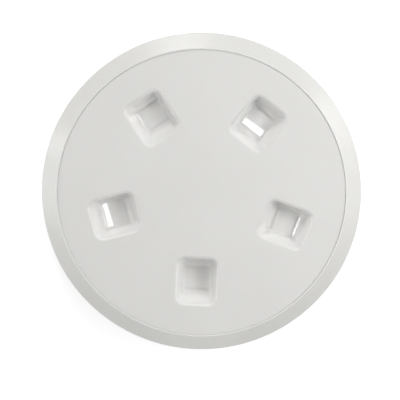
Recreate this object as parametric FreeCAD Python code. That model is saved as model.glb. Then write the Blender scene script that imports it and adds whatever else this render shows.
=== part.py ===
import FreeCAD, Part

import math
import os

# Deck inspection plate: a ring that is screwed down over a hole in the deck,
# and a lid that screws into it on a coarse thread and squeezes a flat seal.
# Millimetres. Z = 0 is the deck, +Z points up out of the deck, and the Z axis
# is the common axis of the ring, the lid and their threads. Radii are "r".
# Every fit between the pieces is worked out from the values below.

# Deck ring
RING_DIA = 200.0  # over the outside of the flange; every other radius follows it
RING_EDGE = 2.0  # upright outer edge, where the bevel starts
BEVEL_WIDTH = 9.0  # from the crest out to the outer edge
CREST_LAND = 0.8  # flat top of the crest, between the bevel and the recess
LEDGE = 3.2  # thickness of the flange under the lid
LEDGE_WIDTH = 11.2  # from the wall of the recess in to the outside of the neck
NECK_WALL = 2.5
NECK_DEPTH = 21.0  # how far the neck reaches below the deck

# Fixing screws, countersunk, hidden under the rim of the lid
SCREW_COUNT = 6
SCREW_TO_RECESS = 5.2  # from the middle of a screw out to the wall of the recess
SCREW_HOLE = 4.5
SCREW_HEAD = 8.5
SCREW_HEAD_ANGLE = 90.0

# Lid
LID_PLATE = 2.4  # thickness of the top
LID_SUNK = 0.6  # the face lies this far below the crest of the ring
LID_SEAT_GAP = 0.2  # left between the rim and the ledge when the seal is tight
LID_EDGE_GAP = 0.2  # all round, between the rim and the wall of the recess
LID_CLOCK = -93.0  # degrees at which the first pocket stands when the lid is closed
SKIRT_WALL = 2.4
SKIRT_LENGTH = 19.5

# Ribs under the lid, one between each two pockets
RIB_THICK = 2.0
RIB_DEPTH = 6.0
HUB_DIA = 14.0

# Finger pockets
POCKET_COUNT = 5
POCKET_LENGTH = 29.5  # along the radius, at the face
POCKET_WIDTH = 25.0  # across the radius, at the face
POCKET_CORNER = 3.5
POCKET_DEPTH = 14.0
FLOOR_LENGTH = 18.5
FLOOR_WIDTH = 16.5
FLOOR_DISH = 1.1  # the floor is hollowed this much, like a trough
POCKET_RIM = 1.2  # edge broken all round, where the pocket meets the face
POCKET_WALL = 2.4
POCKET_TO_SKIRT = 0.5  # from the outer end of the pocket to the inside of the skirt

# Thread, one start, right-handed
PITCH = 6.0
LID_TURNS = 1.4
RING_TURNS = 2.0
THREAD_SPACE = 2.8  # between the skirt and the bore of the neck
THREAD_TIP_GAP = 0.5
THREAD_FLANK = 20.0  # degrees from square
LOADED_GAP = 0.3  # between the flanks that pull the lid down
SLACK_GAP = 1.4  # between the other flanks
THREAD_ROOT = 0.5  # how deep the thread is rooted in the wall that carries it
RING_THREAD_START = 2.6  # from the deck plane down to the middle of the top end
LID_THREAD_LAG = 0.1  # turns from the top end of the ring's thread to that of the lid's
THREAD_FADE = 15.0  # degrees over which each end of a thread dies away

# Flat rubber seal, round the root of the skirt
SEAL_WIDTH = 6.0
SEAL_THICK = 1.5
SEAL_FIT = 0.2  # to the skirt, the rim and the seat

# Broken edges of the turned outlines
EDGE_FINE = 0.3
EDGE_RIM = 0.5
EDGE_LEAD = 1.0  # lead-in at the foot of the neck and of the skirt

# Heights
ledge_z = LEDGE
lid_under_z = ledge_z + LID_SEAT_GAP
lid_top_z = lid_under_z + LID_PLATE
crest_z = lid_top_z + LID_SUNK
skirt_end_z = lid_under_z - SKIRT_LENGTH
pocket_floor_z = lid_top_z - POCKET_DEPTH

# Radii
ring_r = RING_DIA / 2
crest_r = ring_r - BEVEL_WIDTH
recess_r = crest_r - CREST_LAND
lid_r = recess_r - LID_EDGE_GAP
screw_pitch_r = recess_r - SCREW_TO_RECESS
neck_r = recess_r - LEDGE_WIDTH
bore_r = neck_r - NECK_WALL
skirt_r = bore_r - THREAD_SPACE
skirt_inner_r = skirt_r - SKIRT_WALL
pocket_pitch_r = skirt_inner_r - POCKET_TO_SKIRT - POCKET_LENGTH / 2

# The seal lies between the rim of the lid and a seat sunk into the ledge
seal_inner_r = skirt_r + SEAL_FIT
seal_outer_r = seal_inner_r + SEAL_WIDTH
seal_top_z = lid_under_z - SEAL_FIT
seal_under_z = seal_top_z - SEAL_THICK
seat_r = seal_outer_r + SEAL_FIT
seat_z = seal_under_z - SEAL_FIT

# Both threads have the same flanks, so their gaps are the same at any radius
thread_mid_r = (skirt_r + bore_r) / 2
thread_half = (PITCH - LOADED_GAP - SLACK_GAP) / 4
flank_slope = math.tan(math.radians(THREAD_FLANK))
lid_thread_drop = 2 * thread_half + LOADED_GAP

AXIS = FreeCAD.Vector(0, 0, 1)
ORIGIN = FreeCAD.Vector(0, 0, 0)


def turned(corners):
    """Solid of revolution about Z from an outline of (r, z, cut) corners, each cut back by cut."""
    points = []
    for i, (r, z, cut) in enumerate(corners):
        here = FreeCAD.Vector(0, r, z)
        before = FreeCAD.Vector(0, *corners[i - 1][:2])
        after = FreeCAD.Vector(0, *corners[(i + 1) % len(corners)][:2])
        if cut > 0:
            points.append(here + (before - here).normalize() * cut)
            points.append(here + (after - here).normalize() * cut)
        else:
            points.append(here)
    outline = Part.makePolygon(points + points[:1])
    return Part.Face(outline).revolve(ORIGIN, AXIS, 360)


def half_width(r, carried_inside):
    """Half the height of the thread at radius r; it narrows away from the wall that carries it."""
    towards_tip = (r - thread_mid_r) if carried_inside else (thread_mid_r - r)
    return thread_half - flank_slope * towards_tip


def thread_z(turns):
    """Height of the middle of the ring's thread this many turns up from its top end, at angle 0."""
    return PITCH * turns - RING_THREAD_START


def helical_ridge(root_r, tip_r, top_z, turns, carried_inside):
    """One right-handed ridge that winds down from top_z at angle 0, before its ends are eased."""
    bottom_z = top_z - PITCH * turns
    root = half_width(root_r, carried_inside)
    tip = half_width(tip_r, carried_inside)
    points = [
        FreeCAD.Vector(root_r, 0, -root),
        FreeCAD.Vector(tip_r, 0, -tip),
        FreeCAD.Vector(tip_r, 0, tip),
        FreeCAD.Vector(root_r, 0, root),
        FreeCAD.Vector(root_r, 0, -root),
    ]
    path = Part.makeLongHelix(PITCH, PITCH * turns, thread_mid_r)
    ridge = Part.Wire(path.Edges).makePipeShell([Part.makePolygon(points)], True, True)
    ridge.translate(FreeCAD.Vector(0, 0, bottom_z))
    ridge.rotate(ORIGIN, AXIS, -360 * turns)
    return ridge


def turned_to(shape, degrees):
    """A copy of the shape, turned about Z."""
    copy = shape.copy()
    copy.rotate(ORIGIN, AXIS, degrees)
    return copy


def lid_thread():
    """Outside thread of the skirt. A flat against the skirt makes each end fade out."""
    tip_r = bore_r - THREAD_TIP_GAP
    start_z = thread_z(-LID_THREAD_LAG) - lid_thread_drop
    ridge = helical_ridge(skirt_r - THREAD_ROOT, tip_r, start_z, LID_TURNS, True)
    ridge.rotate(ORIGIN, AXIS, -360 * LID_THREAD_LAG)
    half_chord = math.sqrt(tip_r ** 2 - skirt_r ** 2)
    for turn in (LID_THREAD_LAG, LID_THREAD_LAG + LID_TURNS):
        flat = Part.makeBox(THREAD_SPACE, 2 * half_chord, PITCH)
        flat.translate(FreeCAD.Vector(skirt_r, -half_chord, -PITCH / 2))
        flat.translate(FreeCAD.Vector(0, 0, thread_z(-turn) - lid_thread_drop))
        flat.rotate(ORIGIN, AXIS, -360 * turn)
        ridge = ridge.cut(flat)
    return ridge


def ring_thread():
    """Inside thread of the neck. A round cut that leaves the bore makes each end fade out."""
    tip_r = skirt_r + THREAD_TIP_GAP
    ridge = helical_ridge(bore_r + THREAD_ROOT, tip_r, thread_z(0), RING_TURNS, False)
    fade = math.cos(math.radians(THREAD_FADE))
    offset = (bore_r ** 2 - tip_r ** 2) / (2 * (bore_r - tip_r * fade))
    for turn in (0, RING_TURNS):
        easer = Part.makeCylinder(bore_r - offset, PITCH)
        easer.translate(FreeCAD.Vector(offset, 0, thread_z(-turn) - PITCH / 2))
        easer.rotate(ORIGIN, AXIS, -360 * turn)
        ridge = ridge.cut(easer)
    return ridge


def screw_holes():
    """Countersunk holes for the fixing screws, through the ledge."""
    sink = (SCREW_HEAD - SCREW_HOLE) / 2 / math.tan(math.radians(SCREW_HEAD_ANGLE / 2))
    hole = Part.makeCylinder(SCREW_HOLE / 2, ledge_z)
    head = Part.makeCone(SCREW_HOLE / 2, SCREW_HEAD / 2, sink)
    head.translate(FreeCAD.Vector(0, 0, ledge_z - sink))
    one = hole.fuse(head)
    one.translate(FreeCAD.Vector(screw_pitch_r, 0, 0))
    step = 360 / SCREW_COUNT
    return [turned_to(one, step * (i + 0.5)) for i in range(SCREW_COUNT)]


def deck_ring():
    """Flange, crest, recess, ledge, seat of the seal, neck and thread, in one moulding."""
    body = turned(
        [
            (bore_r, -NECK_DEPTH, 0),
            (neck_r, -NECK_DEPTH, EDGE_LEAD),
            (neck_r, 0, 0),
            (ring_r, 0, 0),
            (ring_r, RING_EDGE, EDGE_RIM),
            (crest_r, crest_z, 0),
            (recess_r, crest_z, EDGE_FINE),
            (recess_r, ledge_z, 0),
            (seat_r, ledge_z, 0),
            (seat_r, seat_z, 0),
            (bore_r, seat_z, 0),
        ]
    )
    body = body.cut(screw_holes())
    return body.fuse(ring_thread())


def oblong(length, width, z):
    """Four corners of a rectangle at height z, long side along X."""
    x = length / 2
    y = width / 2
    return [FreeCAD.Vector(i * x, j * y, z) for i, j in ((-1, -1), (1, -1), (1, 1), (-1, 1))]


def tapered_block(grow, floor_z):
    """Drafted pocket form from just above the face down to floor_z, larger all round by grow."""
    top_z = lid_top_z + POCKET_RIM
    outlines = []
    for z in (top_z, floor_z):
        deeper = (lid_top_z - z) / POCKET_DEPTH
        length = POCKET_LENGTH + (FLOOR_LENGTH - POCKET_LENGTH) * deeper
        width = POCKET_WIDTH + (FLOOR_WIDTH - POCKET_WIDTH) * deeper
        outlines.append(oblong(length + 2 * grow, width + 2 * grow, z))
    top, low = outlines
    faces = [Part.Face(Part.makePolygon(ring + ring[:1])) for ring in outlines]
    for i in range(4):
        j = (i + 1) % 4
        faces.append(Part.Face(Part.makePolygon([top[i], top[j], low[j], low[i], top[i]])))
    block = Part.Solid(Part.Shell(faces))
    height = top_z - floor_z
    uprights = [edge for edge in block.Edges if edge.BoundBox.ZLength > height / 2]
    return block.makeFillet(POCKET_CORNER + grow, uprights)


def pocket_hollow():
    """What is scooped out for one pocket: drafted walls and a floor hollowed along the radius."""
    half = FLOOR_LENGTH / 2
    dish_r = (half ** 2 + FLOOR_DISH ** 2) / (2 * FLOOR_DISH)
    trough = Part.makeCylinder(dish_r, 2 * POCKET_WIDTH)
    trough.rotate(ORIGIN, FreeCAD.Vector(1, 0, 0), 90)
    trough.translate(FreeCAD.Vector(0, POCKET_WIDTH, pocket_floor_z + dish_r))
    return tapered_block(0, pocket_floor_z - FLOOR_DISH).common(trough)


def pocket_cup():
    """Outside of one pocket under the lid: the same tapered form, thicker by the wall."""
    return tapered_block(POCKET_WALL, pocket_floor_z - POCKET_WALL)


def at_pockets(shape):
    """One copy of the shape for each pocket, carried out to the pocket circle."""
    step = 360 / POCKET_COUNT
    moved = shape.copy()
    moved.translate(FreeCAD.Vector(pocket_pitch_r, 0, 0))
    return [turned_to(moved, LID_CLOCK + step * i) for i in range(POCKET_COUNT)]


def lid_ribs():
    """Hub in the middle of the underside, with a rib to the skirt between each two pockets."""
    rib_length = skirt_inner_r + SKIRT_WALL / 2
    rib = Part.makeBox(rib_length, RIB_THICK, RIB_DEPTH + LID_PLATE / 2)
    rib.translate(FreeCAD.Vector(0, -RIB_THICK / 2, lid_under_z - RIB_DEPTH))
    hub = Part.makeCylinder(HUB_DIA / 2, RIB_DEPTH + LID_PLATE / 2)
    hub.translate(FreeCAD.Vector(0, 0, lid_under_z - RIB_DEPTH))
    step = 360 / POCKET_COUNT
    return [hub] + [turned_to(rib, LID_CLOCK + step * (i + 0.5)) for i in range(POCKET_COUNT)]


def with_broken_rims(body):
    """The lid with the edge of each pocket broken, where it meets the face."""
    face = max(body.Faces, key=lambda f: f.CenterOfMass.z * (f.Area > POCKET_LENGTH ** 2))
    rims = [edge for wire in face.Wires if wire.Length < lid_r * 2 for edge in wire.Edges]
    return body.makeChamfer(POCKET_RIM, rims)


def lid():
    """Top, skirt, finger pockets, ribs and thread, in one moulding."""
    body = turned(
        [
            (0, lid_under_z, 0),
            (skirt_inner_r, lid_under_z, 0),
            (skirt_inner_r, skirt_end_z, 0),
            (skirt_r, skirt_end_z, EDGE_LEAD),
            (skirt_r, lid_under_z, 0),
            (lid_r, lid_under_z, 0),
            (lid_r, lid_top_z, EDGE_RIM),
            (0, lid_top_z, 0),
        ]
    )
    inside_skirt = Part.makeCylinder(skirt_inner_r + SKIRT_WALL / 2, SKIRT_LENGTH + LID_PLATE / 2)
    inside_skirt.translate(FreeCAD.Vector(0, 0, skirt_end_z))
    cups = [cup.common(inside_skirt) for cup in at_pockets(pocket_cup())]
    body = body.fuse(cups + lid_ribs())
    body = body.cut(at_pockets(pocket_hollow()))
    body = with_broken_rims(body)
    return body.fuse(lid_thread())


def lid_seal():
    """Flat rubber ring round the root of the skirt, under the rim."""
    return turned(
        [
            (seal_inner_r, seal_under_z, 0),
            (seal_outer_r, seal_under_z, 0),
            (seal_outer_r, seal_top_z, 0),
            (seal_inner_r, seal_top_z, 0),
        ]
    )


def one_solid(shape):
    """The single solid of a shape, with faces that lie in one surface joined up."""
    return shape.removeSplitter().Solids[0]


pieces = {
    "deck_ring": deck_ring,
    "lid": lid,
    "lid_seal": lid_seal,
}

os.makedirs("parts", exist_ok=True)
for name, make in pieces.items():
    solid = one_solid(make())
    solid.exportStep("parts/" + name + ".step")
    box = solid.optimalBoundingBox()
    print(name, "volume", round(solid.Volume), "valid", solid.isValid())
    print("  from", round(box.XMin, 2), round(box.YMin, 2), round(box.ZMin, 2))
    print("  to", round(box.XMax, 2), round(box.YMax, 2), round(box.ZMax, 2))
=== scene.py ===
# %% [markdown]
# # A deck inspection plate
#
# This is a round cover for an access hole in a boat's deck. A fixed ring is
# screwed down on the deck. A lid with five finger pockets screws into the ring
# on a coarse thread and squeezes a flat rubber seal. The solids come from the
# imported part. Here each of them gets a finer skin with rounded edges, and the
# plastic, the light and the camera are made.

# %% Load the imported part
import math

import bmesh
import bpy
import numpy as np
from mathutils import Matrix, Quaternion, Vector


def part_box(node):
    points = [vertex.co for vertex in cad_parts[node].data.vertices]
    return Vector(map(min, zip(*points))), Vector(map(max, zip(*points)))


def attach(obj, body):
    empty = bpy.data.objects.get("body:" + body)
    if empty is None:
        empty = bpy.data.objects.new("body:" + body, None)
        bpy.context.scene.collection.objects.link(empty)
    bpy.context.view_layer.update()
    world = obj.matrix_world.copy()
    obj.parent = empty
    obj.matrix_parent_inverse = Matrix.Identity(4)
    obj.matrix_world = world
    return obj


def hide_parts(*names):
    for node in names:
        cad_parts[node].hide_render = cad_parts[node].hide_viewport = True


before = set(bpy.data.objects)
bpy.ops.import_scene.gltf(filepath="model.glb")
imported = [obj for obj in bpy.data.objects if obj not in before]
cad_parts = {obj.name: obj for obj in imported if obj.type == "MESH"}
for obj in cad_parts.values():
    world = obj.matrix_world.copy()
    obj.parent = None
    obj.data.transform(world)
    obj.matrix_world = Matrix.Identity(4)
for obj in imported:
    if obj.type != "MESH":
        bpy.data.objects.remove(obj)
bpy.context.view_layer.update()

MM = 0.001  # sizes below are in millimetres, Blender's are in metres
print("nodes:", sorted(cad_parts))

# %% [markdown]
# ## The sizes
#
# The overall sizes are measured on the solids, so the skin can't drift away
# from them. The rest are the mould maker's walls, fits and widths, and every
# radius is worked out from the outer edge inwards. Heights count from the
# deck, and the Z axis is the axis of the thread. Only the gap round the lid is
# drawn narrower than in the solids: they leave 0.2 mm for the lid to turn in,
# but the photograph hardly shows a line there.

# %% Sizes
ring_low, ring_high = [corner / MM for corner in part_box("deck_ring")]
lid_low, lid_high = [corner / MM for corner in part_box("lid")]
seal_low, seal_high = [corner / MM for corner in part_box("lid_seal")]

FLANGE = 21.0  # from the outer edge in to the neck
BEVEL = 9.0
CREST_LAND = 0.84  # flat top between the bevel and the recess
EDGE_GAP = 0.07  # round the lid
SEAT_GAP = 0.2  # between the lid's rim and the ledge
NECK_WALL = 2.5
WALL = 2.4  # of the lid: its top, its skirt and its pockets
THREAD_SPACE = 2.8  # between the skirt and the bore of the neck
SEAL_WIDTH = 6.0
SEAL_FIT = 0.2

RING_R = round(ring_high.x, 3)
CREST_R = RING_R - BEVEL
RECESS_R = CREST_R - CREST_LAND
LID_R = RECESS_R - EDGE_GAP
NECK_R = RING_R - FLANGE
BORE_R = NECK_R - NECK_WALL
SKIRT_R = BORE_R - THREAD_SPACE
SKIRT_IN_R = SKIRT_R - WALL
SEAT_R = SKIRT_R + SEAL_WIDTH + 2 * SEAL_FIT

CREST_Z = ring_high.z
NECK_END_Z = ring_low.z
EDGE_Z = 2.0  # where the bevel starts
FACE_Z = lid_high.z
PLATE_Z = FACE_Z - WALL  # underside of the lid's top
LEDGE_Z = PLATE_Z - SEAT_GAP
SEAT_Z = seal_low.z - SEAL_FIT
SKIRT_END_Z = lid_low.z
print("face at", round(FACE_Z, 2), "crest at", round(CREST_Z, 2), "ledge at", round(LEDGE_Z, 2))
print("lid radius", round(LID_R, 2), "skirt", round(SKIRT_R, 2), "bore", round(BORE_R, 2))

# %% [markdown]
# ## Rounded outlines
#
# No moulded edge is sharp: the mould is cut with a small radius in each corner,
# and so a real edge catches a thin line of light. A bevel modifier could round
# the edges of a finished mesh, but this helper turns the corners of an outline
# into arcs, so that one list of corners and radii describes a whole turned
# shape, and each edge has the radius that is written beside it.

# %% Round the corners of an outline
def unit(vector):
    """The vector at length one."""
    return vector / np.linalg.norm(vector)


def corner_arc(before, corner, after, radius, steps):
    """Points of the arc that rounds a corner, in any plane."""
    corner = np.array(corner, float)
    a = unit(np.array(before, float) - corner)
    b = unit(np.array(after, float) - corner)
    half = math.acos(np.clip(a @ b, -1, 1)) / 2
    centre = corner + unit(a + b) * radius / math.sin(half)
    start = corner + a * radius / math.tan(half) - centre
    end = corner + b * radius / math.tan(half) - centre
    turn = math.acos(np.clip(unit(start) @ unit(end), -1, 1))
    shares = [i / steps for i in range(steps + 1)]
    return [
        centre + (math.sin((1 - s) * turn) * start + math.sin(s * turn) * end) / math.sin(turn)
        for s in shares
    ]


def rounded(corners, steps=6):
    """An open outline of (r, z, radius) corners, with arcs for its inner corners."""
    line = [np.array(corners[0][:2], float)]
    for before, here, after in zip(corners, corners[1:], corners[2:]):
        if here[2] > 0:
            line += corner_arc(before[:2], here[:2], after[:2], here[2], steps)
        else:
            line.append(np.array(here[:2], float))
    return line + [np.array(corners[-1][:2], float)]


print("points of one rounded corner:", len(rounded([(0, 0, 0), (1, 0, 0.2), (1, 1, 0)])) - 2)

# %% [markdown]
# ## A skin of quads
#
# All pieces are built as grids of quads: rows of points with strips between
# them. The rows follow the form, round the axis or round a pocket. A skin
# collects the grids, and at the end its touching points are joined, so that
# the piece is one closed surface. Flat faces keep a flat shade beside a small
# rounding because the normals are weighted by face area. The solids could be
# cut and rounded in Blender too, but that leaves long thin triangles, which
# shade badly.

# %% Collect grids and make a piece
JOIN = 0.0005  # points closer than this are one


class Skin:
    """Grids of quads in millimetres, joined into one piece."""

    def __init__(self):
        self.points, self.faces, self.finishes = [], [], []

    def grid(self, rows, finish=0):
        """Quads between each two neighbouring rows of points."""
        rows = np.asarray(rows, float)
        count, width = rows.shape[:2]
        first = len(self.points)
        self.points.extend(rows.reshape(-1, 3))
        for i in range(count - 1):
            low = first + i * width
            for j in range(low, low + width - 1):
                self.faces.append((j, j + 1, j + 1 + width, j + width))
                self.finishes.append(finish)

    def piece(self, name, materials, sharp=32):
        """One mesh object with its points joined, and its edges sharp above an angle."""
        mesh = bpy.data.meshes.new(name)
        mesh.from_pydata([p * MM for p in self.points], [], self.faces)
        mesh.polygons.foreach_set("material_index", self.finishes)
        for material in materials:
            mesh.materials.append(material)
        skin = bmesh.new()
        skin.from_mesh(mesh)
        bmesh.ops.remove_doubles(skin, verts=skin.verts, dist=JOIN * MM)
        bmesh.ops.dissolve_degenerate(skin, edges=skin.edges, dist=JOIN * MM)
        bmesh.ops.recalc_face_normals(skin, faces=skin.faces)
        open_edges = sum(not edge.is_manifold for edge in skin.edges)
        skin.to_mesh(mesh)
        skin.free()
        mesh.shade_smooth()
        mesh.set_sharp_from_angle(angle=math.radians(sharp))
        piece = bpy.data.objects.new(name, mesh)
        bpy.context.scene.collection.objects.link(piece)
        even = piece.modifiers.new("even_shade", "WEIGHTED_NORMAL")
        even.keep_sharp = True
        print(name, len(mesh.polygons), "faces,", open_edges, "open edges")
        return piece


def turned(line, angles):
    """Rows of points, one for each point of an (r, z) outline, turned through the angles."""
    angles = np.radians(angles)
    return [
        np.stack([r * np.cos(angles), r * np.sin(angles), np.full(len(angles), z)], 1)
        for r, z in line
    ]


# %% [markdown]
# ## Threads
#
# Both threads are one helical ridge with slanted flanks and rounded tips. Such
# a thread is coarse, so that the lid opens in a few turns and sand doesn't jam
# it. Each end fades into the wall, as the mould leaves it, and so the threads
# find each other easily. A screw modifier would give the helix, but not the
# fading ends, so the ridge is swept row by row with its own tip radius.

# %% Sweep a thread ridge round the axis
PITCH = 6.0
LOADED_GAP = 0.3  # between the flanks that pull the lid down
SLACK_GAP = 1.4  # between the other flanks
THREAD_MID_R = (SKIRT_R + BORE_R) / 2
THREAD_HALF = (PITCH - LOADED_GAP - SLACK_GAP) / 4  # half the height of a ridge
FLANK_SLOPE = math.tan(math.radians(20))
TIP_ROUND = 0.35
TIP_GAP = 0.5  # between a ridge's tip and the other wall
ROOT = 0.5  # the ridge reaches this far into the wall


def ridge_section(root_r, tip_r, outward):
    """Outline of the ridge across the thread, as (r, z) from its lower to its upper root."""
    at_root, at_tip = [
        THREAD_HALF - FLANK_SLOPE * (r - THREAD_MID_R) * outward for r in (root_r, tip_r)
    ]
    soft = min(TIP_ROUND, abs(tip_r - root_r) / 3)
    corners = [
        (root_r, -at_root, 0),
        (tip_r, -at_tip, soft),
        (tip_r, at_tip, soft),
        (root_r, at_root, 0),
    ]
    return rounded(corners, steps=3)


def sweep_thread(skin, root_r, tip_at, outward, top_z, first_turn, turns, per_turn=180):
    """A right-handed ridge that winds down. tip_at gives its tip radius by turns from an end."""
    steps = round(turns * per_turn)
    rows = []
    for i in range(steps + 1):
        turn = turns * i / steps
        tip_r = tip_at(min(turn, turns - turn))
        angle = math.radians(-360 * (first_turn + turn))
        z = top_z - PITCH * turn
        section = ridge_section(root_r, tip_r, outward)
        rows.append([(r * math.cos(angle), r * math.sin(angle), z + dz) for r, dz in section])
    rows = np.array(rows)
    closed = np.concatenate([rows, rows[:, :1]], 1)
    skin.grid(closed)
    for end in (rows[0], rows[-1]):
        half = len(end) // 2
        skin.grid([end[:half], end[::-1][:half]])


print("thread pitch", PITCH, "ridge", round(2 * THREAD_HALF, 2), "high at its middle")

# %% [markdown]
# ## Holes in a flat ring
#
# The fixing screws go through the ledge under the lid. A hole in a turned face
# needs a patch: the quads run from the hole's edge out to a small piece of the
# ring, and the rest of the ring stays turned. A boolean cut would be quicker to
# write, but it breaks up the faces round the hole.

# %% Make a flat ring with screw holes
STEP = 1.0  # degrees between the rows of the deck ring
HOLE_COUNT = 6
HOLE_PITCH_R = NECK_R + 6.0
HOLE_R = 2.25
SINK_R = 4.25
PATCH = 6  # degrees to each side of a hole
ACROSS = 8  # quads across the flat ring


def polar(r, degrees, z):
    """A point from its radius, angle and height."""
    angle = math.radians(degrees)
    return np.array([r * math.cos(angle), r * math.sin(angle), z])


def holed_ring(skin, inner_r, outer_r, z, radius, outs=None):
    """A flat ring with holes; returns the outward directions of the points round each hole."""
    radii = np.linspace(inner_r, outer_r, ACROSS + 1)
    used = []
    for k in range(HOLE_COUNT):
        middle = 360 / HOLE_COUNT * (k + 0.5)
        span = np.arange(middle + PATCH, middle + 360 / HOLE_COUNT - PATCH + STEP / 2, STEP)
        skin.grid(turned([(r, z) for r in radii], span))
        near = np.arange(-PATCH, PATCH + STEP / 2, STEP)
        patch = [polar(inner_r, middle + a, z) for a in near]
        patch += [polar(r, middle + PATCH, z) for r in radii[1:]]
        patch += [polar(outer_r, middle + a, z) for a in near[::-1][1:]]
        patch += [polar(r, middle - PATCH, z) for r in radii[::-1][1:]]
        centre = polar(HOLE_PITCH_R, middle, z)
        used.append(outs[k] if outs else [unit(point - centre) for point in patch])
        skin.grid([patch, [centre + out * radius for out in used[k]]])
    return used


print(HOLE_COUNT, "screw holes of", 2 * HOLE_R, "mm at radius", HOLE_PITCH_R)

# %% [markdown]
# ## The deck ring
#
# On the real plate this is one moulding: a flange that lies on the deck, a
# bevel outside so that feet and ropes slide over it, a recess that takes the
# lid, and a neck through the deck with the thread inside. The outline is
# turned round the axis, as a lathe would do it, because nearly all of the ring
# is round. Only the two flat faces with the screw holes are made of patches.

# %% Build the deck ring
RECESS_ROUND = 0.3
CREST_ROUND = 0.15
EDGE_ROUND = 0.6  # where the bevel meets the upright outer edge
HEEL_ROUND = 0.2  # where the outer edge meets the deck
LEAD_IN = 1.0  # at the foot of the neck and of the skirt
FINE_ROUND = 0.4
SEAT_ROUND = 0.3
RING_THREAD_Z = -2.6  # middle of the ridge at its top end
RING_TURNS = 2.0
RING_FADE = math.radians(15)


def sink_hole(skin, k, outs):
    """The wall of one countersunk hole, from the ledge down through the flange."""
    middle = 360 / HOLE_COUNT * (k + 0.5)
    cone_end = LEDGE_Z - (SINK_R - HOLE_R)
    skin.grid([
        [polar(HOLE_PITCH_R, middle, z) + out * r for out in outs]
        for r, z in ((SINK_R, LEDGE_Z), (HOLE_R, cone_end), (HOLE_R, 0))
    ])


def ring_tip(turns_from_end):
    """Tip radius of the neck's thread; an arc off the axis makes each end fade out."""
    tip = SKIRT_R + TIP_GAP
    offset = (BORE_R**2 - tip**2) / (2 * (BORE_R - tip * math.cos(RING_FADE)))
    angle = min(turns_from_end * 2 * math.pi, RING_FADE)
    across = (BORE_R - offset) ** 2 - (offset * math.sin(angle)) ** 2
    return max(tip, offset * math.cos(angle) + math.sqrt(across))


def make_deck_ring(materials):
    """The ring with its flange, neck, holes and thread."""
    skin = Skin()
    round_about = np.arange(0, 360 + STEP / 2, STEP)
    heel_r = RING_R - HEEL_ROUND
    outside = rounded([
        (RECESS_R, LEDGE_Z, 0), (RECESS_R, CREST_Z, RECESS_ROUND),
        (CREST_R, CREST_Z, CREST_ROUND), (RING_R, EDGE_Z, EDGE_ROUND),
        (RING_R, 0, HEEL_ROUND), (heel_r, 0, 0),
    ])[:-1]
    skin.grid(turned(outside, round_about))
    outs = holed_ring(skin, SEAT_R, RECESS_R, LEDGE_Z, SINK_R)
    holed_ring(skin, NECK_R, heel_r, 0, HOLE_R, outs)
    for k in range(HOLE_COUNT):
        sink_hole(skin, k, outs[k])
    inside = rounded([
        (NECK_R, 0, 0), (NECK_R, NECK_END_Z, LEAD_IN), (BORE_R, NECK_END_Z, FINE_ROUND),
        (BORE_R, SEAT_Z, SEAT_ROUND), (SEAT_R, SEAT_Z, 0), (SEAT_R, LEDGE_Z, 0),
    ])
    skin.grid(turned(inside, round_about))
    sweep_thread(skin, BORE_R + ROOT, ring_tip, -1, RING_THREAD_Z, 0, RING_TURNS)
    return skin.piece("deck_ring_skin", materials)


print("ledge from", round(SEAT_R, 2), "to", round(RECESS_R, 2), "neck ends at", round(NECK_END_Z, 2))

# %% [markdown]
# ## The shape of a finger pocket
#
# A pocket is a rounded oblong that gets smaller with depth, because a moulding
# has to slide off its steel core. The mouth is rounded for the fingertip, and
# the floor is a shallow trough. Every row round the pocket has the same number
# of points: each point belongs to a place on the oblong, which says where its
# corner's centre is and which way it faces. So one formula gives every row,
# and the rows join into clean quads. A rounded block could be cut out of the
# lid with a boolean instead, but its walls would mirror the lamps unevenly.

# %% Points round an oblong
SIDE = 24  # quads along a side, with half of each of its two corners
HALF_SIDE = SIDE // 2
QUARTER = SIDE // 4


def straight(count, a, b):
    """Shares of the way from a to b, without the last one."""
    return [a + (b - a) * i / count for i in range(count)]


def places_round_oblong():
    """For each point: its centre, as shares of the half sizes, and its outward direction."""
    places = [(-1, t, 180) for t in straight(QUARTER, 0, -1)]
    corners = [(-1, -1, 180), (1, -1, 270), (1, 1, 0), (-1, 1, 90)]
    for i, (x, y, start) in enumerate(corners):
        places += [(x, y, start + 90 * s) for s in straight(HALF_SIDE, 0, 1)]
        if i < 3:
            x1, y1, out = corners[i + 1]
            places += [
                (x + (x1 - x) * s, y + (y1 - y) * s, out) for s in straight(HALF_SIDE, 0, 1)
            ]
    places += [(-1, t, 180) for t in straight(QUARTER, 1, 0)] + [(-1, 0, 180)]
    share_x, share_y, out = np.array(places, float).T
    return share_x, share_y, np.cos(np.radians(out)), np.sin(np.radians(out))


SHARE_X, SHARE_Y, OUT_X, OUT_Y = places_round_oblong()
ENDS = OUT_X**2  # 1 on the ends of the oblong, 0 on its sides, in between on the corners


def oblong_row(half_length, half_width, corner, z):
    """One row of points; the sizes may differ from point to point."""
    x = SHARE_X * (half_length - corner) + corner * OUT_X
    y = SHARE_Y * (half_width - corner) + corner * OUT_Y
    return np.stack([x, y, z + 0 * x], 1)


print("points in a row:", len(SHARE_X))

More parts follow.
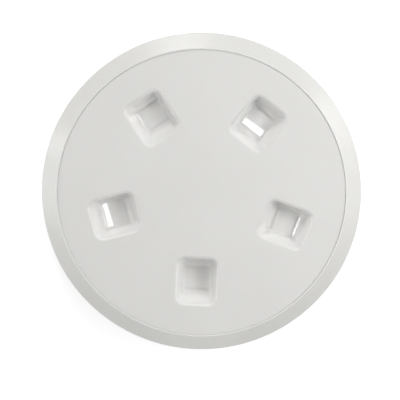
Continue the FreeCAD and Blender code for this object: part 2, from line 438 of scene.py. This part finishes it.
# %% Sizes of a pocket
POCKET_COUNT = 5
POCKET_TURN = 360 / POCKET_COUNT
FIRST_POCKET = -93.0  # degrees
POCKET_TO_SKIRT = 0.5
MOUTH_LENGTH = 14.75  # half of it, as all lengths and widths of the pocket here
POCKET_R = SKIRT_IN_R - POCKET_TO_SKIRT - MOUTH_LENGTH  # to the middle of a pocket
MOUTH_WIDTH = 12.5
FLOOR_LENGTH = 9.25
FLOOR_WIDTH = 8.25
DEPTH = 14.0
END_SLOPE = (MOUTH_LENGTH - FLOOR_LENGTH) / DEPTH
SIDE_SLOPE = (MOUTH_WIDTH - FLOOR_WIDTH) / DEPTH
MOUTH_CORNER = 5.0
FLOOR_CORNER = 2.2
RIM_ROUND = 2.2
END_ROUND = 6.5  # where the floor turns up into its ends
SIDE_ROUND = 1.4  # where it turns up into its sides
DISH = 1.1  # the floor is hollowed this much
DISH_R = (FLOOR_LENGTH**2 + DISH**2) / (2 * DISH)
print("floor hollowed to a radius of", round(DISH_R, 1))

# %% Rows of the wall and of its rounded edge
def trough(x):
    """Height of the pocket's floor at a place along the radius, and its slope."""
    drop = np.sqrt(DISH_R**2 - x**2)
    return FACE_Z - DEPTH + DISH_R - drop, x / drop


def wall_row(depth, grow=0.0):
    """Row round the pocket's wall at a depth below the face, grown all round."""
    corner = MOUTH_CORNER + (FLOOR_CORNER - MOUTH_CORNER) * depth / DEPTH + grow
    return oblong_row(
        MOUTH_LENGTH - END_SLOPE * depth + grow,
        MOUTH_WIDTH - SIDE_SLOPE * depth + grow,
        corner,
        FACE_Z - depth,
    )


def lip_rows(depth, grow, radius, steps):
    """Rows of the rounding where a level face turns down into the wall."""
    ends = corner_arc((1, 0), (0, 0), (-END_SLOPE, -1), radius, steps)
    sides = corner_arc((1, 0), (0, 0), (-SIDE_SLOPE, -1), radius, steps)
    corner = MOUTH_CORNER + (FLOOR_CORNER - MOUTH_CORNER) * depth / DEPTH + grow
    rows = []
    for (end_x, end_z), (side_x, side_z) in zip(ends, sides):
        z = FACE_Z - depth + ENDS * end_z + (1 - ENDS) * side_z
        out = ENDS * end_x + (1 - ENDS) * side_x
        length = MOUTH_LENGTH - END_SLOPE * depth + grow + end_x
        width = MOUTH_WIDTH - SIDE_SLOPE * depth + grow + side_x
        rows.append(oblong_row(length, width, corner + out, z))
    return rows


def between(row_a, row_b, count):
    """Rows at even steps from one row to the next, without the last."""
    return [row_a + (row_b - row_a) * i / count for i in range(count)]


print("mouth", np.ptp(wall_row(0), axis=0)[:2], "foot", np.ptp(wall_row(DEPTH), axis=0)[:2].round(2))

# %% [markdown]
# ## The floor of a pocket
#
# The floor is closed by a square patch whose four sides are the four sides of
# the last row. Each inner point is blended from the four sides, which is
# called a Coons patch, and then set to the height of the trough. A fan of
# triangles would close it too, but the polished floor mirrors the lamps, and
# every triangle would show in them.

# %% Fill the floor
def patch_rows(loop, height_at):
    """Rows of points that fill a closed row of four sides."""
    near, right, far = [
        loop[HALF_SIDE + SIDE * i:HALF_SIDE + SIDE * (i + 1) + 1] for i in range(3)
    ]
    far = far[::-1]
    left = np.concatenate([loop[HALF_SIDE + 3 * SIDE:], loop[1:HALF_SIDE + 1]])[::-1]
    rows = []
    for i in range(SIDE + 1):
        t = i / SIDE
        s = np.linspace(0, 1, SIDE + 1)[:, None]
        row = (1 - t) * near + t * far + (1 - s) * left[i] + s * right[i]
        row -= (1 - s) * ((1 - t) * near[0] + t * far[0]) + s * ((1 - t) * near[-1] + t * far[-1])
        row[:, 2] = height_at(row[:, 0])
        rows.append(row)
    return rows


print("quads in a floor:", SIDE * SIDE)

# %% [markdown]
# ## Inside and outside of a pocket
#
# The wall of a pocket is thin, so it shows twice: as the pocket on the face,
# and as a cup under the lid. Both are a stack of rows: a rounding at the top,
# a slanted wall, a rounding at the foot and the floor.

# %% Rows of a whole pocket, inside and outside
LIP_STEPS = 8
WALL_STEPS = 8
FOOT_STEPS = 9
CUP_ROOT_ROUND = 0.8
CUP_FOOT_ROUND = 1.8
CUP_ROOT_STEPS = 4
CUP_FOOT_STEPS = 6
FOOT_PASSES = 8


def pocket_inside():
    """Rows from the face down to the floor, and the rows of the floor."""
    lip = lip_rows(0, 0, RIM_ROUND, LIP_STEPS)
    foot = wall_row(np.full(len(SHARE_X), DEPTH - DISH))
    for _ in range(FOOT_PASSES):  # each pass brings the foot closer to the hollowed floor
        foot = wall_row(FACE_Z - trough(foot[:, 0])[0])
    slope = trough(foot[:, 0])[1]
    down = foot - lip[-1]
    inward = np.stack([-OUT_X, -OUT_Y, -slope * OUT_X], 1)
    rounds = END_ROUND * ENDS + SIDE_ROUND * (1 - ENDS)
    arcs = np.array([
        corner_arc(f - d, f, f + e, r, FOOT_STEPS)
        for f, d, e, r in zip(foot, down, inward, rounds)
    ])
    fillet = [arcs[:, i] for i in range(arcs.shape[1])]
    fillet[-1][:, 2] = trough(fillet[-1][:, 0])[0]
    walls = between(lip[-1], fillet[0], WALL_STEPS) + fillet
    return lip, walls, patch_rows(fillet[-1], lambda x: trough(x)[0])


def pocket_outside():
    """Rows of the cup under the plate: its root, wall, rounded foot and flat bottom."""
    root = lip_rows(FACE_Z - PLATE_Z, WALL, CUP_ROOT_ROUND, CUP_ROOT_STEPS)
    bottom = DEPTH + WALL
    foot = wall_row(np.full(len(SHARE_X), bottom), WALL)
    up = root[-1] - foot
    inward = np.stack([-OUT_X, -OUT_Y, 0 * OUT_X], 1)
    arcs = np.array([
        corner_arc(f + u, f, f + e, CUP_FOOT_ROUND, CUP_FOOT_STEPS)
        for f, u, e in zip(foot, up, inward)
    ])
    fillet = [arcs[:, i] for i in range(arcs.shape[1])]
    rows = root[:-1] + between(root[-1], fillet[0], WALL_STEPS) + fillet
    return rows, patch_rows(fillet[-1], lambda x: 0 * x + FACE_Z - bottom)


print("rows down a pocket:", sum(len(rows) for rows in pocket_inside()[:2]))

# %% [markdown]
# ## The lid
#
# The lid is one moulding too. Its face is cut into five equal sectors, each
# with a pocket in its middle. In each sector the rows run from the pocket's
# mouth out to the sector's edge, so the face needs no long thin triangles.
# The rim and the skirt are turned, and their points meet those of the sectors.
# Underneath, the walls of the pockets show as five cups, with ribs between.

# %% Place the sectors
def placed(rows, angle, shift=POCKET_R):
    """Rows moved out along X and turned about the axis."""
    rows = np.array(rows, float)
    rows[..., 0] += shift
    a = math.radians(angle)
    x = rows[..., 0] * math.cos(a) - rows[..., 1] * math.sin(a)
    y = rows[..., 0] * math.sin(a) + rows[..., 1] * math.cos(a)
    return np.stack([x, y, rows[..., 2]], -1)


def held_inside(rows, radius):
    """Rows with the points that lie outside a radius drawn in to it."""
    rows = np.array(rows)
    reach = np.hypot(rows[..., 0] + POCKET_R, rows[..., 1])
    pull = np.minimum(1, radius / reach)
    rows[..., 0] = (rows[..., 0] + POCKET_R) * pull - POCKET_R
    rows[..., 1] *= pull
    return rows


def sector_edge(radius, z):
    """Row round one sector: out from the axis, along the rim and back."""
    half = POCKET_TURN / 2
    out = [polar(radius * s, -half, z) for s in straight(SIDE, 0, 1)]
    rim = [polar(radius, a, z) for a in straight(2 * SIDE, -half, half)]
    back = [polar(radius * s, half, z) for s in straight(SIDE, 1, 0)]
    row = np.array(out + rim + back + [polar(0, half, z)])
    row[:, 0] -= POCKET_R
    return row


print(POCKET_COUNT, "sectors of", POCKET_TURN, "degrees")

# %% [markdown]
# ## Ribs, hub and thread of the lid
#
# Five ribs run from a hub in the middle to the skirt, because a thin plastic
# plate with pockets in it would bend under a foot. Ribs and hub reach a little
# into the plate and the skirt, so that no gap opens between them. They could be
# joined to the plate quad by quad, but that would look the same. The lid's
# thread runs into a flat at each end, so that it starts easily in the ring's.

# %% Make a rib and the end of the lid's thread
RIB_HALF = 1.0  # half its thickness
RIB_DEPTH = 6.0
RIB_ROUND = 0.5
RIB_STATIONS = 5
HUB_R = 7.0
HUB_ROUND = 0.6
RIB_START = HUB_R - 0.4  # inside the hub, but outside its flat end
SUNK = 1.0  # ribs and hub reach this far into the plate and the skirt
LID_FLAT = 0.5  # radians over which each end of the thread fades


def rib(angle):
    """One rib with a rounded lower edge, from the hub out into the skirt."""
    low, high = PLATE_Z - RIB_DEPTH, PLATE_Z + SUNK
    section = rounded([
        (-RIB_HALF, high, 0), (-RIB_HALF, low, RIB_ROUND),
        (RIB_HALF, low, RIB_ROUND), (RIB_HALF, high, 0),
    ], steps=4)
    stations = np.linspace(RIB_START, SKIRT_IN_R + SUNK, RIB_STATIONS)
    rows = np.array([[(x, y, z) for y, z in section] for x in stations])
    closed = np.concatenate([rows, rows[:, :1]], 1)
    half = len(section) // 2
    caps = [[end[:half], end[::-1][:half]] for end in (rows[0], rows[-1])]
    return [placed(part, angle, 0) for part in [closed] + caps]


def lid_tip(turns_from_end):
    """Tip radius of the lid's thread; a flat makes each end fade out."""
    angle = min(turns_from_end * 2 * math.pi, LID_FLAT)
    return min(BORE_R - TIP_GAP, SKIRT_R / math.cos(angle))


print("a rib reaches from", RIB_START, "to", round(SKIRT_IN_R + SUNK, 2))

# %% Build the lid
FACE, POCKET, RIM = 0, 1, 2  # places of the lid's finishes in its list
FACE_STEPS = 6
UNDER_STEPS = 4
RIM_START = 3  # row of the pocket's lip where the rim's finish starts
LID_ROUND = 0.2  # round the face
RIM_UNDER_ROUND = 0.3
CUP_ROOM = 0.05  # between a cup and the skirt
THREAD_LAG = 0.1  # turns from the top end of the ring's thread to that of the lid's
LID_TURNS = 1.4


def make_lid(materials):
    """Face, pockets, rim, skirt, cups, ribs, hub and thread."""
    skin = Skin()
    lip, walls, floor = pocket_inside()
    cup, cup_bottom = pocket_outside()
    cup = list(held_inside(cup, SKIRT_IN_R - CUP_ROOM))
    top = between(sector_edge(LID_R - LID_ROUND, FACE_Z), lip[0], FACE_STEPS)
    under = between(sector_edge(SKIRT_IN_R, PLATE_Z), cup[0], UNDER_STEPS)
    for k in range(POCKET_COUNT):
        angle = FIRST_POCKET + POCKET_TURN * k
        skin.grid(placed(top + lip[:RIM_START + 1], angle), FACE)
        skin.grid(placed(lip[RIM_START:], angle), RIM)
        skin.grid(placed(walls, angle), POCKET)
        skin.grid(placed(floor, angle), POCKET)
        skin.grid(placed(under + cup, angle), FACE)
        skin.grid(placed(cup_bottom, angle), FACE)
        for part in rib(angle + POCKET_TURN / 2):
            skin.grid(part)
    start = FIRST_POCKET - POCKET_TURN / 2
    round_about = np.linspace(start, start + 360, POCKET_COUNT * 2 * SIDE + 1)
    edge = rounded([
        (0, FACE_Z, 0), (LID_R, FACE_Z, LID_ROUND), (LID_R, PLATE_Z, RIM_UNDER_ROUND),
        (SKIRT_R, PLATE_Z, 0), (SKIRT_R, SKIRT_END_Z, LEAD_IN),
        (SKIRT_IN_R, SKIRT_END_Z, FINE_ROUND), (SKIRT_IN_R, PLATE_Z, 0),
    ])[1:]
    skin.grid(turned(edge, round_about))
    hub = rounded([
        (0, PLATE_Z + SUNK, 0), (HUB_R, PLATE_Z + SUNK, 0),
        (HUB_R, PLATE_Z - RIB_DEPTH, HUB_ROUND), (0, PLATE_Z - RIB_DEPTH, 0),
    ])
    skin.grid(turned(hub, round_about[::4]))  # it is small, so fewer quads do
    top_z = RING_THREAD_Z - PITCH * THREAD_LAG - 2 * THREAD_HALF - LOADED_GAP
    sweep_thread(skin, SKIRT_R - ROOT, lid_tip, 1, top_z, THREAD_LAG, LID_TURNS)
    return skin.piece("lid_skin", materials)


print("cups end at z", round(FACE_Z - DEPTH - WALL, 2), "and the skirt at", round(SKIRT_END_Z, 2))

# %% [markdown]
# ## The seal
#
# A flat rubber ring lies round the root of the skirt. It doesn't turn with the
# lid: it rides up with it, and the lid's rim squeezes it on its seat. A torus
# would be one click, but the real seal is flat, so its outline is turned.

# %% Build the seal
SEAL_ROUND = 0.3


def make_seal(materials):
    """The flat ring, with its four edges rounded as pressed rubber's are."""
    skin = Skin()
    inner, outer = seal_high.x - SEAL_WIDTH, seal_high.x
    low, high = seal_low.z, seal_high.z
    middle = (inner + outer) / 2
    outline = rounded([
        (middle, low, 0), (outer, low, SEAL_ROUND), (outer, high, SEAL_ROUND),
        (inner, high, SEAL_ROUND), (inner, low, SEAL_ROUND), (middle, low, 0),
    ], steps=4)
    skin.grid(turned(outline, np.arange(0, 360 + STEP, 2 * STEP)))
    return skin.piece("lid_seal_skin", materials)


print("seal", round(seal_high.z - seal_low.z, 2), "thick and", SEAL_WIDTH, "wide")

# %% [markdown]
# ## Plastic and rubber
#
# The ring and the lid are moulded from off-white plastic. It isn't one flat
# tone: the melt flows in slightly lighter and darker clouds, and a very fine
# texture from the mould breaks the gloss. An image could show this, but noise
# in the object's own space needs no unwrapping and turns with the lid.

# %% Make a moulded material
NOISE_LOW, NOISE_HIGH = 0.3, 0.7  # nearly all of the noise lies between these
CLOUD_SCALE, CLOUD_DETAIL = 22, 3  # clouds of about 45 mm
GRAIN_DETAIL = 2
GLOW_DEPTH = 0.0015  # metres that light travels in the plastic
GLOW_REACH = (1.0, 0.9, 0.75)  # red travels furthest


def noise(nodes, links, coordinates, scale, detail):
    """A noise texture in the object's own space."""
    texture = nodes.new("ShaderNodeTexNoise")
    texture.inputs["Scale"].default_value = scale
    texture.inputs["Detail"].default_value = detail
    links.new(coordinates.outputs["Object"], texture.inputs["Vector"])
    return texture.outputs["Fac"]


def spread(nodes, links, value, low, high):
    """The noise stretched so that it runs from low to high."""
    stretch = nodes.new("ShaderNodeMapRange")
    stretch.inputs["From Min"].default_value = NOISE_LOW
    stretch.inputs["From Max"].default_value = NOISE_HIGH
    stretch.inputs["To Min"].default_value = low
    stretch.inputs["To Max"].default_value = high
    links.new(value, stretch.inputs["Value"])
    return stretch.outputs["Result"]


def moulded(name, tones, roughness, grain, relief, glow, ior=1.5):
    """Two close tones, a range of roughness, grain and its relief in metres, glow inside."""
    material = bpy.data.materials.new(name)
    material.use_nodes = True
    nodes, links = material.node_tree.nodes, material.node_tree.links
    shader = nodes["Principled BSDF"]
    place = nodes.new("ShaderNodeTexCoord")
    clouds = noise(nodes, links, place, CLOUD_SCALE, CLOUD_DETAIL)
    tone = nodes.new("ShaderNodeMix")
    tone.data_type = "RGBA"
    tone.inputs["A"].default_value = (*tones[0], 1)
    tone.inputs["B"].default_value = (*tones[1], 1)
    links.new(spread(nodes, links, clouds, 0, 1), tone.inputs["Factor"])
    links.new(tone.outputs["Result"], shader.inputs["Base Color"])
    fine = noise(nodes, links, place, 1 / grain, GRAIN_DETAIL)
    links.new(spread(nodes, links, fine, *roughness), shader.inputs["Roughness"])
    bump = nodes.new("ShaderNodeBump")
    bump.inputs["Distance"].default_value = relief
    bump.inputs["Strength"].default_value = 1
    links.new(fine, bump.inputs["Height"])
    links.new(bump.outputs["Normal"], shader.inputs["Normal"])
    shader.inputs["IOR"].default_value = ior
    shader.inputs["Subsurface Weight"].default_value = glow
    shader.inputs["Subsurface Radius"].default_value = GLOW_REACH
    shader.inputs["Subsurface Scale"].default_value = GLOW_DEPTH
    print("made", name)
    return material


print("clouds of about", round(1 / CLOUD_SCALE / MM), "mm")

# %% [markdown]
# ## The finishes
#
# One moulding can have several finishes, because each part of the mould is
# polished as its place needs. The face is satin, so that a wet foot holds on
# it. The pockets come off polished steel cores and mirror the lamps. Their
# tone is painted light: the plastic is the same as the face's, but it is made
# lighter, so that the deep pockets look filled with light. Their rounded rims
# lie between the two, in gloss and in painted lightness, and the ring is
# smoother than the face. The seal is matt black rubber. Each finish is the
# same material with other values.

# %% Make the finishes
FACE_TONES = (0.755, 0.75, 0.73), (0.775, 0.77, 0.75)
# Painted light: the pocket and rim tones are lighter than the face's, though the plastic is the
# same, so that the deep pockets look filled with light.
POCKET_PAINTED_LIGHT_TONES = (0.85, 0.845, 0.83), (0.86, 0.855, 0.84)
RIM_PAINTED_LIGHT_TONES = (0.83, 0.825, 0.81), (0.84, 0.835, 0.82)
RING_TONES = (0.8, 0.795, 0.77), (0.82, 0.815, 0.79)
RUBBER_TONES = (0.016, 0.016, 0.017), (0.026, 0.026, 0.027)
FINE_GRAIN, FINE_RELIEF = 0.0012, 3e-6
CORE_GRAIN, CORE_RELIEF = 0.004, 1e-6
RUBBER_GRAIN, RUBBER_RELIEF = 0.0006, 1e-5

face_plastic = moulded("satin_plastic", FACE_TONES, (0.34, 0.42), FINE_GRAIN, FINE_RELIEF, 0.3)
# The pockets and their rims get the lighter tones, which are painted light.
pocket_plastic_painted_light = moulded(
    "glossy_plastic_painted_light", POCKET_PAINTED_LIGHT_TONES, (0.04, 0.06), CORE_GRAIN, CORE_RELIEF, 0.15, ior=1.6
)
rim_plastic_painted_light = moulded("rim_plastic_painted_light", RIM_PAINTED_LIGHT_TONES, (0.14, 0.18), FINE_GRAIN, FINE_RELIEF, 0.15)
ring_plastic = moulded("ring_plastic", RING_TONES, (0.22, 0.28), FINE_GRAIN, FINE_RELIEF, 0.3)
black_rubber = moulded(
    "black_rubber", RUBBER_TONES, (0.5, 0.7), RUBBER_GRAIN, RUBBER_RELIEF, 0
)

# %% [markdown]
# ## On their bodies
#
# Each skin takes the place of its solid and rides on the body that carries it:
# the ring stays on the deck, the lid turns and rises, and the seal only rises.

# %% Put the pieces on their bodies
deck_ring = make_deck_ring([ring_plastic])
lid = make_lid([face_plastic, pocket_plastic_painted_light, rim_plastic_painted_light])
seal = make_seal([black_rubber])
for piece, node, body, slot in (
    (deck_ring, "deck_ring", "ring", "white_plastic"),
    (lid, "lid", "lid", "white_plastic_lid"),
    (seal, "lid_seal", "seal", "seal_rubber"),
):
    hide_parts(node)
    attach(piece, body)
    print(piece.name, "replaces", node, "and rides on", body)

# %% [markdown]
# ## Floor and background
#
# The photograph is a studio picture on pure white. The floor is a pale plane
# under the neck. To the camera it adds just enough white of its own, so it
# reads as white paper, and the plate still throws its shadow on it. More light
# would whiten it too, but it would burn out the plate. The air is white to the
# camera in the same way, and gives the plate hardly any light.

# %% Make the floor
FLOOR_SIZE = 6.0
FLOOR_GAP = 0.1  # millimetres under the neck
PAPER_TONE = 0.5
PAPER_OWN_WHITE = 0.74


def plane(name, size, z, material):
    """A level square, as part of the studio."""
    mesh = bpy.data.meshes.new(name)
    h = size / 2
    mesh.from_pydata([(-h, -h, z), (h, -h, z), (h, h, z), (-h, h, z)], [], [(0, 1, 2, 3)])
    mesh.materials.append(material)
    floor = bpy.data.objects.new(name, mesh)
    bpy.context.scene.collection.objects.link(floor)
    return floor


def paper(albedo, own_white):
    """White paper: plain matt, and it adds some white of its own where it is seen."""
    material = bpy.data.materials.new("white_paper")
    material.use_nodes = True
    nodes, links = material.node_tree.nodes, material.node_tree.links
    nodes.remove(nodes["Principled BSDF"])
    matt = nodes.new("ShaderNodeBsdfDiffuse")
    matt.inputs["Color"].default_value = (albedo, albedo, albedo, 1)
    glow = nodes.new("ShaderNodeEmission")
    seen = nodes.new("ShaderNodeLightPath")
    amount = nodes.new("ShaderNodeMath")
    amount.operation = "MAXIMUM"
    links.new(seen.outputs["Is Camera Ray"], amount.inputs[0])
    links.new(seen.outputs["Is Glossy Ray"], amount.inputs[1])
    scaled = nodes.new("ShaderNodeMath")
    scaled.operation = "MULTIPLY"
    scaled.inputs[1].default_value = own_white
    links.new(amount.outputs[0], scaled.inputs[0])
    links.new(scaled.outputs[0], glow.inputs["Strength"])
    both = nodes.new("ShaderNodeAddShader")
    links.new(matt.outputs[0], both.inputs[0])
    links.new(glow.outputs[0], both.inputs[1])
    links.new(both.outputs[0], nodes["Material Output"].inputs["Surface"])
    return material


paper_z = (NECK_END_Z - FLOOR_GAP) * MM
plane("floor", FLOOR_SIZE, paper_z, paper(PAPER_TONE, PAPER_OWN_WHITE))
print("floor at", round(paper_z, 4), "m")

# %% Make the world
AIR_ON_PLATE = 0.02
AIR_ON_CAMERA = 1.0

world = bpy.data.worlds.new("studio_air")
bpy.context.scene.world = world
world.use_nodes = True
air = world.node_tree.nodes["Background"]
seen = world.node_tree.nodes.new("ShaderNodeLightPath")
level = world.node_tree.nodes.new("ShaderNodeMapRange")
level.inputs["To Min"].default_value = AIR_ON_PLATE
level.inputs["To Max"].default_value = AIR_ON_CAMERA
world.node_tree.links.new(seen.outputs["Is Camera Ray"], level.inputs["Value"])
world.node_tree.links.new(level.outputs["Result"], air.inputs["Strength"])
air.inputs["Color"].default_value = (1, 1, 1, 1)
print("air gives", AIR_ON_PLATE, "on the plate and", AIR_ON_CAMERA, "to the camera")

# %% [markdown]
# ## Light
#
# Soft boxes are what a product photographer uses on white plastic, and area
# lamps are Blender's. One hangs almost overhead: the hollowed floors of two
# pockets mirror it as bright strips. A narrow, tall one on the left gives the
# thin line at the foot of the right-hand pocket. The others stand lower, on
# the left, on the right and beyond the top of the picture. They light the
# bevel and the walls of the pockets from one side, so that every pocket has a
# light and a dark wall. The two at the front are weak, and only keep the near
# side from going dark.

# %% Place the soft boxes
TARGET = Vector((0, 0, 0))


def soft_box(name, azimuth, height, distance, width, depth, power, turn=0):
    """An area lamp at an azimuth and height in degrees, aimed at the plate; metres and watts."""
    lamp = bpy.data.lights.new(name, "AREA")
    lamp.shape = "RECTANGLE"
    lamp.size, lamp.size_y = width, depth
    lamp.energy = power
    box = bpy.data.objects.new(name, lamp)
    a, h = math.radians(azimuth), math.radians(height)
    place = Vector((math.cos(a) * math.cos(h), math.sin(a) * math.cos(h), math.sin(h)))
    box.location = TARGET + place * distance
    aim = (TARGET - box.location).to_track_quat("-Z", "Y")
    box.rotation_euler = (aim @ Quaternion((0, 0, 1), math.radians(turn))).to_euler()
    bpy.context.scene.collection.objects.link(box)
    return box


# name, azimuth, height, distance, width, depth, power, turn
soft_box("overhead_box", 3.2, 78.9, 1.1, 0.40, 0.145, 1.95, -17)
soft_box("left_box", 190, 38, 1.1, 0.3, 0.26, 1.3)
soft_box("high_left_box", 170, 41, 1.1, 0.11, 0.38, 1.3)
soft_box("low_left_box", 200, 12, 1.1, 0.8, 0.2, 2.0)
soft_box("right_box", 22, 43, 1.1, 0.3, 0.25, 1.75)
soft_box("high_right_box", 8, 46, 1.1, 0.25, 0.22, 2.6)
soft_box("low_right_box", 350, 20, 1.1, 0.4, 0.25, 2.6)
soft_box("top_box", 99, 47, 1.8, 0.5, 0.4, 4.4)
soft_box("low_top_box", 100, 25, 1.8, 0.6, 0.4, 9.7)
soft_box("front_box", 270, 30, 1.1, 0.5, 0.3, 0.6)
soft_box("low_front_box", 250, 12, 1.1, 0.5, 0.2, 0.6)
print("lamps:", len(bpy.data.lights))

# %% [markdown]
# ## Camera
#
# The photograph looks almost straight down on the plate, from a little towards
# the top of the picture, with a long lens, so that near and far edges look the
# same size. A camera without perspective would do nearly the same, but a real
# lens shows the walls of the outer pockets a little differently.

# %% Place the camera
FRAME_WIDTH = 0.2505  # metres across the picture, at the plate
LENS = 300  # millimetres, as the sensor
SENSOR = 36
TILT = 8  # degrees off the axis
AIM = Vector((-0.0010, -0.0048, 0.003))  # in the middle of the picture
FAR_END = 20  # metres that the camera sees

camera_data = bpy.data.cameras.new("camera")
camera_data.lens = LENS
camera_data.sensor_width = SENSOR
camera = bpy.data.objects.new("camera", camera_data)
bpy.context.scene.collection.objects.link(camera)
distance = FRAME_WIDTH * LENS / SENSOR
tilt = math.radians(TILT)
camera.location = AIM + Vector((0, math.sin(tilt), math.cos(tilt))) * distance
camera.rotation_euler = (-tilt, 0, 0)
camera_data.clip_end = FAR_END
bpy.context.scene.camera = camera
bpy.context.scene.view_settings.view_transform = "Standard"
print("camera", [round(x, 3) for x in camera.location])

# %% [markdown]
# ## Finish
#
# At the end the view layer is brought up to date. A finer skin is easily drawn
# past the solid, and nobody would see it in the picture.

# %% Bring the scene up to date
bpy.context.view_layer.update()
